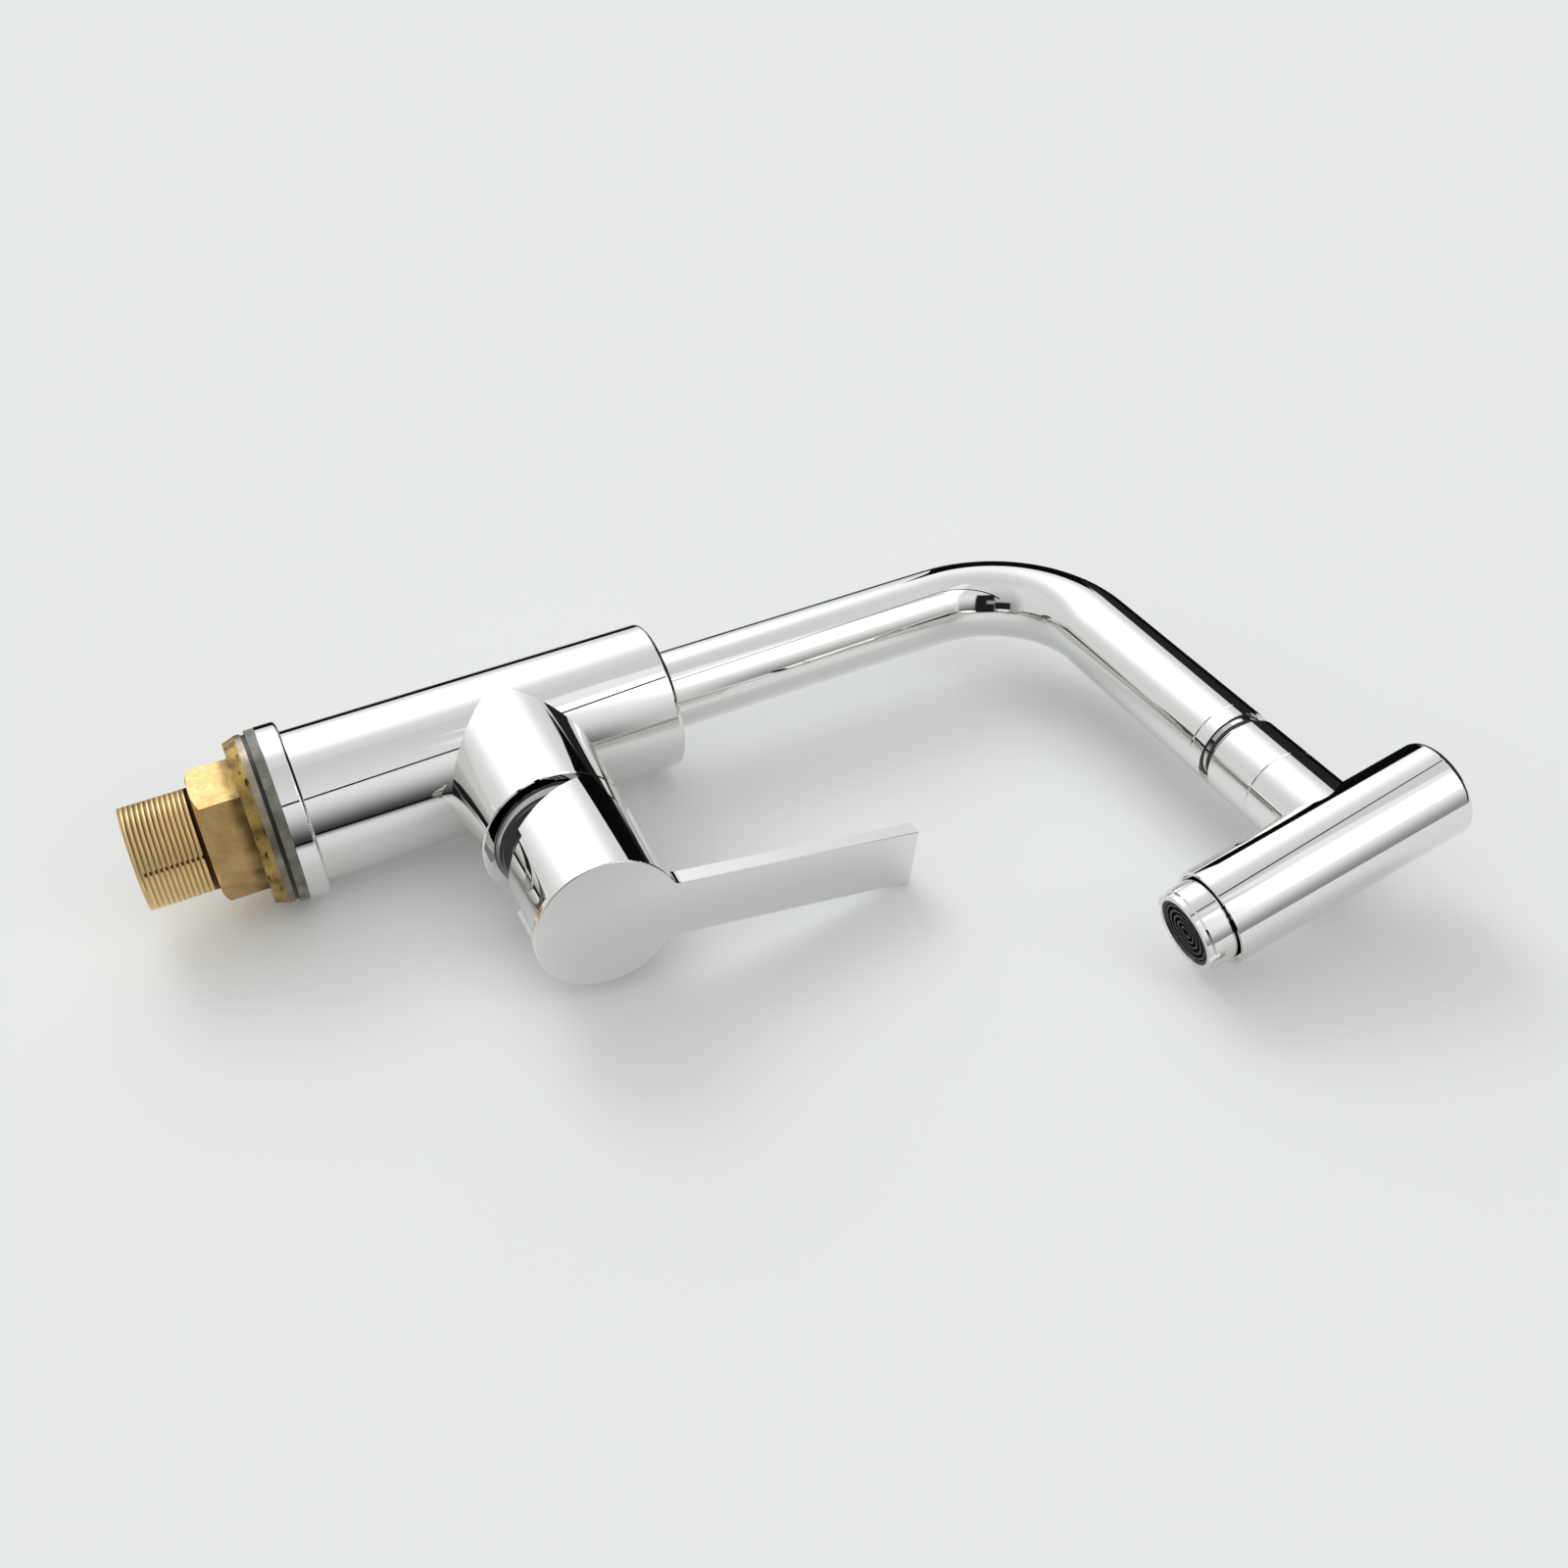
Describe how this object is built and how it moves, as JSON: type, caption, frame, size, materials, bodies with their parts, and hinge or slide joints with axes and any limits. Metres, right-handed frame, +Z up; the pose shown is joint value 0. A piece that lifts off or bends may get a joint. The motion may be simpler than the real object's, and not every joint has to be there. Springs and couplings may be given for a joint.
{
  "type": "single-lever kitchen mixer tap",
  "caption": "Chrome kitchen mixer tap: upright column with a side lever, a square-bent swivelling spout and a T-shaped swivelling outlet head, on a threaded brass shank.",
  "frame": {"origin": "on the body's axis at the worktop's top surface, where the base gasket's underside rests", "axes": "+Z up the body's axis, +X along the spout's arm and the lever's branch, +Y to the left seen from +X's tail"},
  "size_m": [0.206, 0.055, 0.3469],
  "materials": {
    "mirror_chrome": "polished chrome plating on brass",
    "plain_brass": "machined, satin",
    "cast_brass": "cast and machined",
    "steel_plate": "zinc plated",
    "screw_steel": "stainless, satin",
    "spindle_metal": "machined, satin",
    "gasket_rubber": "moulded, matt olive grey",
    "seal_rubber": "moulded, black",
    "bush_plastic": "acetal, off-white",
    "washer_plastic": "acetal, white",
    "cartridge_plastic": "moulded, light grey",
    "insert_plastic": "moulded, black",
    "ceramic": "stands in for polished ceramic"
  },
  "bodies": {
    "tap": {"base_gasket": "gasket_rubber", "base_flange": "mirror_chrome", "under_deck_seal": "seal_rubber", "clamp_washer": "steel_plate", "lock_nut": "cast_brass", "threaded_shank": "plain_brass", "tap_body": "mirror_chrome", "cartridge_base": "cartridge_plastic", "cartridge_seals": "seal_rubber", "fixed_disc": "ceramic", "cartridge_housing": "cartridge_plastic", "cartridge_nut": "plain_brass", "dome_cap": "mirror_chrome", "upper_swivel_bush": "bush_plastic", "spout_retaining_screw": "screw_steel"},
    "spout": {"spout_tube": "mirror_chrome", "spout_stem": "plain_brass", "lower_swivel_bush": "bush_plastic", "spout_o_rings": "seal_rubber", "spout_end_collar": "mirror_chrome", "swivel_washer": "washer_plastic", "swivel_spigot": "plain_brass", "swivel_o_ring": "seal_rubber"},
    "head": {"swivel_sleeve": "mirror_chrome", "head_body": "mirror_chrome", "aerator_ring": "mirror_chrome", "aerator_insert": "insert_plastic", "aerator_screen": "screw_steel", "aerator_washer": "seal_rubber"},
    "turret": {"spindle_turret": "bush_plastic", "spindle_pin": "screw_steel"},
    "lever": {"cartridge_spindle": "spindle_metal", "lever_handle": "mirror_chrome", "lever_grub_screw": "screw_steel"},
    "disc": {"moving_disc": "ceramic", "disc_carrier": "bush_plastic"}
  },
  "joints": [
    {"name": "spout_swivel", "type": "hinge", "parent": "tap", "child": "spout", "pos_m": [0, 0, 0.127], "axis": [0, 0, 1], "continuous": true},
    {"name": "head_swivel", "type": "hinge", "parent": "spout", "child": "head", "pos_m": [0.1225, 0, 0.27], "axis": [1, 0, 0], "continuous": true},
    {"name": "lever_temperature", "type": "hinge", "parent": "tap", "child": "turret", "pos_m": [0.044, 0, 0.074], "axis": [1, 0, 0], "range_deg": [-40, 60]},
    {"name": "lever_flow", "type": "hinge", "parent": "turret", "child": "lever", "pos_m": [0.043, 0, 0.074], "axis": [0, 0.9848, -0.1736], "range_deg": [0, 25]},
    {"name": "disc_slide", "type": "slide", "parent": "turret", "child": "disc", "axis": [0, 0.1736, 0.9848], "range_m": [0, 0.0032]}
  ],
  "couplings": [
    {"joint": "disc_slide", "follows": "lever_flow", "m_per_rad": 0.0069}
  ]
}
